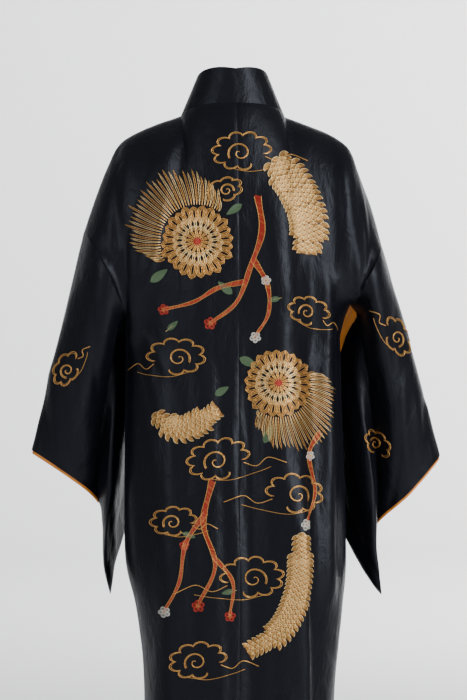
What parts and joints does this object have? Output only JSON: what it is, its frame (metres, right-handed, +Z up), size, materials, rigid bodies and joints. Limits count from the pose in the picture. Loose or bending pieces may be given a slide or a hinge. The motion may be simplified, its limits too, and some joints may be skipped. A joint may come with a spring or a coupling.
{
  "type": "silk kimono robe",
  "caption": "Long black silk kimono robe, hollow as worn, with a stiff collar band, wide hanging sleeves lined in orange, and gold, red and green flower and cloud embroidery.",
  "frame": {"origin": "inner face of the cloth at the nape of the neck, under the middle of the collar seam, where the wearer's neck and shoulders carry the robe", "axes": "+Z up, the wearer's front towards -Y and back towards +Y, the wearer's left towards +X"},
  "size_m": [0.6636, 0.2461, 1.4378],
  "materials": {
    "black_silk": "smooth silk with a soft bluish sheen",
    "orange_silk": "plain woven silk lining",
    "gold_thread": "couched metal-wrapped thread, satin shine",
    "pale_gold_thread": "couched metal-wrapped thread, bright satin shine",
    "red_thread": "floss silk satin stitch",
    "green_thread": "floss silk satin stitch",
    "white_thread": "floss silk satin stitch",
    "seam_thread": "black sewing thread"
  },
  "bodies": {
    "root": {"back_left": "black_silk", "front_left": "black_silk", "back_right": "black_silk", "front_right": "black_silk", "overlap_left": "black_silk", "overlap_right": "black_silk", "collar": "black_silk", "sleeve_left": "black_silk", "sleeve_right": "black_silk", "lining_left": "orange_silk", "lining_right": "orange_silk"}
  },
  "joints": []
}
